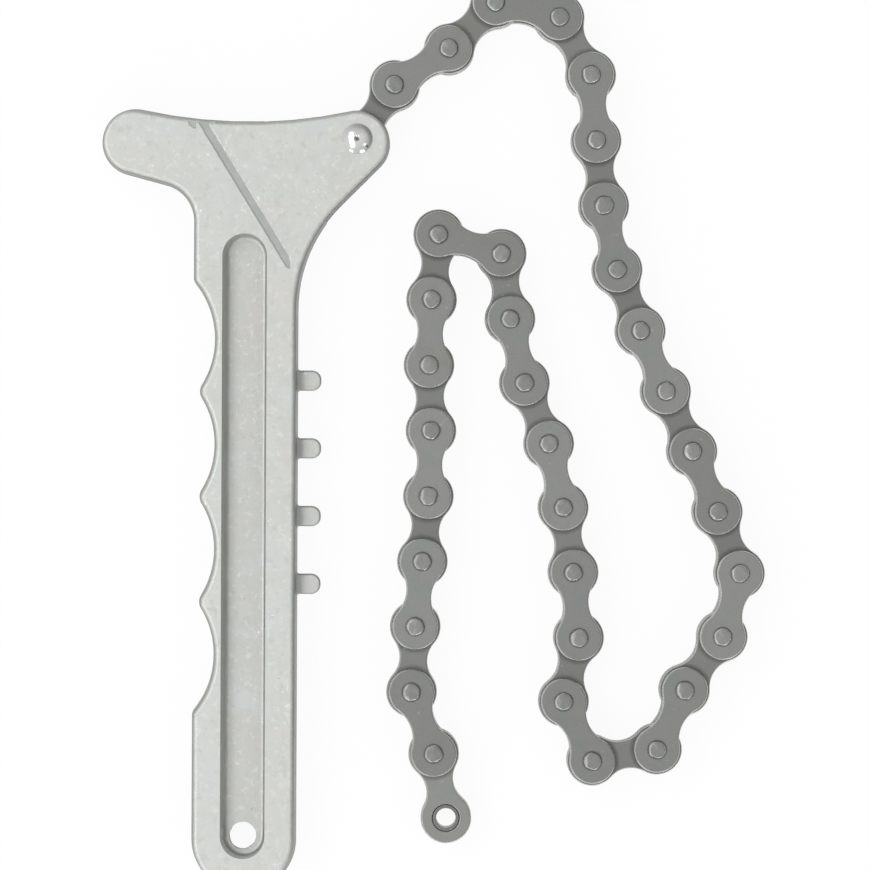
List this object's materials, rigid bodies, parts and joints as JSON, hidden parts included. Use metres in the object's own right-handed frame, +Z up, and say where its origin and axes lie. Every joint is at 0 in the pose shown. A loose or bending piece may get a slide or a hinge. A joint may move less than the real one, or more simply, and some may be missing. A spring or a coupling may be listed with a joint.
{
  "type": "chain oil filter wrench",
  "caption": "Cast lever handle with finger scallops, hook teeth and a clevis head, and a roller chain riveted in the clevis that wraps round an oil filter.",
  "frame": {"origin": "on the handle's underside, where the grip's centre line meets the line through the middles of the head's two round ends", "axes": "+Y along the grip towards the head, +X towards the clevis tip that holds the chain, +Z up out of the handle's upper face"},
  "size_m": [0.1289, 0.1775, 0.0119],
  "materials": {
    "cast_aluminium": "tumbled die casting, satin",
    "polished_rivet_steel": "polished dome",
    "inner_plate_steel": "oiled, darker grey",
    "outer_plate_steel": "shot-peened and oiled, grey",
    "pin_steel": "riveted ends, grey",
    "roller_steel": "ground and oiled"
  },
  "bodies": {
    "handle": {"handle_casting": "cast_aluminium", "chain_rivet": "polished_rivet_steel"},
    "link_01": {"roller_link_01": "inner_plate_steel"},
    "link_02": {"pin_link_02": "pin_steel", "cover_plate_02": "outer_plate_steel"},
    "link_03": {"roller_link_03": "inner_plate_steel"},
    "link_04": {"pin_link_04": "pin_steel", "cover_plate_04": "outer_plate_steel"},
    "link_05": {"roller_link_05": "inner_plate_steel"},
    "link_06": {"pin_link_06": "pin_steel", "cover_plate_06": "outer_plate_steel"},
    "link_07": {"roller_link_07": "inner_plate_steel"},
    "link_08": {"pin_link_08": "pin_steel", "cover_plate_08": "outer_plate_steel"},
    "link_09": {"roller_link_09": "inner_plate_steel"},
    "link_10": {"pin_link_10": "pin_steel", "cover_plate_10": "outer_plate_steel"},
    "link_11": {"roller_link_11": "inner_plate_steel"},
    "link_12": {"pin_link_12": "pin_steel", "cover_plate_12": "outer_plate_steel"},
    "link_13": {"roller_link_13": "inner_plate_steel"},
    "link_14": {"pin_link_14": "pin_steel", "cover_plate_14": "outer_plate_steel"},
    "link_15": {"roller_link_15": "inner_plate_steel"},
    "link_16": {"pin_link_16": "pin_steel", "cover_plate_16": "outer_plate_steel"},
    "link_17": {"roller_link_17": "inner_plate_steel"},
    "link_18": {"pin_link_18": "pin_steel", "cover_plate_18": "outer_plate_steel"},
    "link_19": {"roller_link_19": "inner_plate_steel"},
    "link_20": {"pin_link_20": "pin_steel", "cover_plate_20": "outer_plate_steel"},
    "link_21": {"roller_link_21": "inner_plate_steel"},
    "link_22": {"pin_link_22": "pin_steel", "cover_plate_22": "outer_plate_steel"},
    "link_23": {"roller_link_23": "inner_plate_steel"},
    "link_24": {"pin_link_24": "pin_steel", "cover_plate_24": "outer_plate_steel"},
    "link_25": {"roller_link_25": "inner_plate_steel"},
    "link_26": {"pin_link_26": "pin_steel", "cover_plate_26": "outer_plate_steel"},
    "link_27": {"roller_link_27": "inner_plate_steel"},
    "link_28": {"pin_link_28": "pin_steel", "cover_plate_28": "outer_plate_steel"},
    "link_29": {"roller_link_29": "inner_plate_steel"},
    "link_30": {"pin_link_30": "pin_steel", "cover_plate_30": "outer_plate_steel"},
    "link_31": {"roller_link_31": "inner_plate_steel"},
    "link_32": {"pin_link_32": "pin_steel", "cover_plate_32": "outer_plate_steel"},
    "link_33": {"roller_link_33": "inner_plate_steel"},
    "link_34": {"pin_link_34": "pin_steel", "cover_plate_34": "outer_plate_steel"},
    "link_35": {"end_plate_lower": "inner_plate_steel", "end_plate_upper": "inner_plate_steel", "end_bush_1": "inner_plate_steel", "end_bush_2": "inner_plate_steel"},
    "end_roller_1_body": {"end_roller_1": "roller_steel"},
    "end_roller_2_body": {"end_roller_2": "roller_steel"}
  },
  "joints": [
    {"name": "hinge_01", "type": "hinge", "parent": "handle", "child": "link_01", "pos_m": [0.02155, 0.0007, 0.0052], "axis": [0, 0, 1], "range_deg": [-7, 60]},
    {"name": "hinge_02", "type": "hinge", "parent": "link_01", "child": "link_02", "pos_m": [0.02865, 0.01123, 0.0052], "axis": [0, 0, -1], "range_deg": [-60, 7]},
    {"name": "hinge_03", "type": "hinge", "parent": "link_02", "child": "link_03", "pos_m": [0.03918, 0.01833, 0.0052], "axis": [0, 0, 1], "range_deg": [-5, 60]},
    {"name": "hinge_04", "type": "hinge", "parent": "link_03", "child": "link_04", "pos_m": [0.04816, 0.02731, 0.0052], "axis": [0, 0, -1], "range_deg": [-60, 5]},
    {"name": "hinge_05", "type": "hinge", "parent": "link_04", "child": "link_05", "pos_m": [0.06054, 0.02445, 0.0052], "axis": [0, 0, 1], "range_deg": [-5, 60]},
    {"name": "hinge_06", "type": "hinge", "parent": "link_05", "child": "link_06", "pos_m": [0.06669, 0.01335, 0.0052], "axis": [0, 0, -1], "range_deg": [-60, 5]},
    {"name": "hinge_07", "type": "hinge", "parent": "link_06", "child": "link_07", "pos_m": [0.0678, 0.00069, 0.0052], "axis": [0, 0, 1], "range_deg": [-7, 60]},
    {"name": "hinge_08", "type": "hinge", "parent": "link_07", "child": "link_08", "pos_m": [0.06935, -0.01191, 0.0052], "axis": [0, 0, -1], "range_deg": [-60, 7]},
    {"name": "hinge_09", "type": "hinge", "parent": "link_08", "child": "link_09", "pos_m": [0.07199, -0.02433, 0.0052], "axis": [0, 0, 1], "range_deg": [-9, 60]},
    {"name": "hinge_10", "type": "hinge", "parent": "link_09", "child": "link_10", "pos_m": [0.07654, -0.03619, 0.0052], "axis": [0, 0, -1], "range_deg": [-60, 13]},
    {"name": "hinge_11", "type": "hinge", "parent": "link_10", "child": "link_11", "pos_m": [0.0815, -0.04788, 0.0052], "axis": [0, 0, 1], "range_deg": [-13, 60]},
    {"name": "hinge_12", "type": "hinge", "parent": "link_11", "child": "link_12", "pos_m": [0.08667, -0.05948, 0.0052], "axis": [0, 0, -1], "range_deg": [-60, 11]},
    {"name": "hinge_13", "type": "hinge", "parent": "link_12", "child": "link_13", "pos_m": [0.09163, -0.07117, 0.0052], "axis": [0, 0, 1], "range_deg": [-9, 21]},
    {"name": "hinge_14", "type": "hinge", "parent": "link_13", "child": "link_14", "pos_m": [0.09597, -0.08311, 0.0052], "axis": [0, 0, -1], "range_deg": [-17, 7]},
    {"name": "hinge_15", "type": "hinge", "parent": "link_14", "child": "link_15", "pos_m": [0.09269, -0.09537, 0.0052], "axis": [0, 0, 1], "range_deg": [-7, 13]},
    {"name": "hinge_16", "type": "hinge", "parent": "link_15", "child": "link_16", "pos_m": [0.0854, -0.10578, 0.0052], "axis": [0, 0, -1], "range_deg": [-11, 5]},
    {"name": "hinge_17", "type": "hinge", "parent": "link_16", "child": "link_17", "pos_m": [0.08003, -0.11729, 0.0052], "axis": [0, 0, 1], "range_deg": [-5, 9]},
    {"name": "hinge_18", "type": "hinge", "parent": "link_17", "child": "link_18", "pos_m": [0.06753, -0.11949, 0.0052], "axis": [0, 0, -1], "range_deg": [-11, 5]},
    {"name": "hinge_19", "type": "hinge", "parent": "link_18", "child": "link_19", "pos_m": [0.06196, -0.10808, 0.0052], "axis": [0, 0, 1], "range_deg": [-7, 11]},
    {"name": "hinge_20", "type": "hinge", "parent": "link_19", "child": "link_20", "pos_m": [0.06482, -0.0957, 0.0052], "axis": [0, 0, -1], "range_deg": [-15, 9]},
    {"name": "hinge_21", "type": "hinge", "parent": "link_20", "child": "link_21", "pos_m": [0.06371, -0.08305, 0.0052], "axis": [0, 0, 1], "range_deg": [-11, 17]},
    {"name": "hinge_22", "type": "hinge", "parent": "link_21", "child": "link_22", "pos_m": [0.06172, -0.07051, 0.0052], "axis": [0, 0, -1], "range_deg": [-23, 13]},
    {"name": "hinge_23", "type": "hinge", "parent": "link_22", "child": "link_23", "pos_m": [0.05887, -0.05813, 0.0052], "axis": [0, 0, 1], "range_deg": [-19, 17]},
    {"name": "hinge_24", "type": "hinge", "parent": "link_23", "child": "link_24", "pos_m": [0.05411, -0.04636, 0.0052], "axis": [0, 0, -1], "range_deg": [-15, 15]},
    {"name": "hinge_25", "type": "hinge", "parent": "link_24", "child": "link_25", "pos_m": [0.05125, -0.03398, 0.0052], "axis": [0, 0, 1], "range_deg": [-11, 11]},
    {"name": "hinge_26", "type": "hinge", "parent": "link_25", "child": "link_26", "pos_m": [0.04948, -0.02141, 0.0052], "axis": [0, 0, -1], "range_deg": [-11, 9]},
    {"name": "hinge_27", "type": "hinge", "parent": "link_26", "child": "link_27", "pos_m": [0.03734, -0.01769, 0.0052], "axis": [0, 0, 1], "range_deg": [-9, 9]},
    {"name": "hinge_28", "type": "hinge", "parent": "link_27", "child": "link_28", "pos_m": [0.03601, -0.03032, 0.0052], "axis": [0, 0, -1], "range_deg": [-11, 11]},
    {"name": "hinge_29", "type": "hinge", "parent": "link_28", "child": "link_29", "pos_m": [0.03557, -0.04302, 0.0052], "axis": [0, 0, 1], "range_deg": [-13, 13]},
    {"name": "hinge_30", "type": "hinge", "parent": "link_29", "child": "link_30", "pos_m": [0.03601, -0.05571, 0.0052], "axis": [0, 0, -1], "range_deg": [-15, 17]},
    {"name": "hinge_31", "type": "hinge", "parent": "link_30", "child": "link_31", "pos_m": [0.03557, -0.0684, 0.0052], "axis": [0, 0, 1], "range_deg": [-21, 17]},
    {"name": "hinge_32", "type": "hinge", "parent": "link_31", "child": "link_32", "pos_m": [0.03446, -0.08105, 0.0052], "axis": [0, 0, -1], "range_deg": [-21, 25]},
    {"name": "hinge_33", "type": "hinge", "parent": "link_32", "child": "link_33", "pos_m": [0.03313, -0.09368, 0.0052], "axis": [0, 0, 1], "range_deg": [-35, 29]},
    {"name": "hinge_34", "type": "hinge", "parent": "link_33", "child": "link_34", "pos_m": [0.03247, -0.10637, 0.0052], "axis": [0, 0, -1], "range_deg": [-49, 55]},
    {"name": "hinge_35", "type": "hinge", "parent": "link_34", "child": "link_35", "pos_m": [0.03681, -0.1183, 0.0052], "axis": [0, 0, 1], "range_deg": [-100, 100]},
    {"name": "end_roller_1_spin", "type": "hinge", "parent": "link_35", "child": "end_roller_1_body", "pos_m": [0.03681, -0.1183, 0.0052], "axis": [0, 0, 1], "continuous": true},
    {"name": "end_roller_2_spin", "type": "hinge", "parent": "link_35", "child": "end_roller_2_body", "pos_m": [0.03924, -0.13077, 0.0052], "axis": [0, 0, 1], "continuous": true}
  ]
}
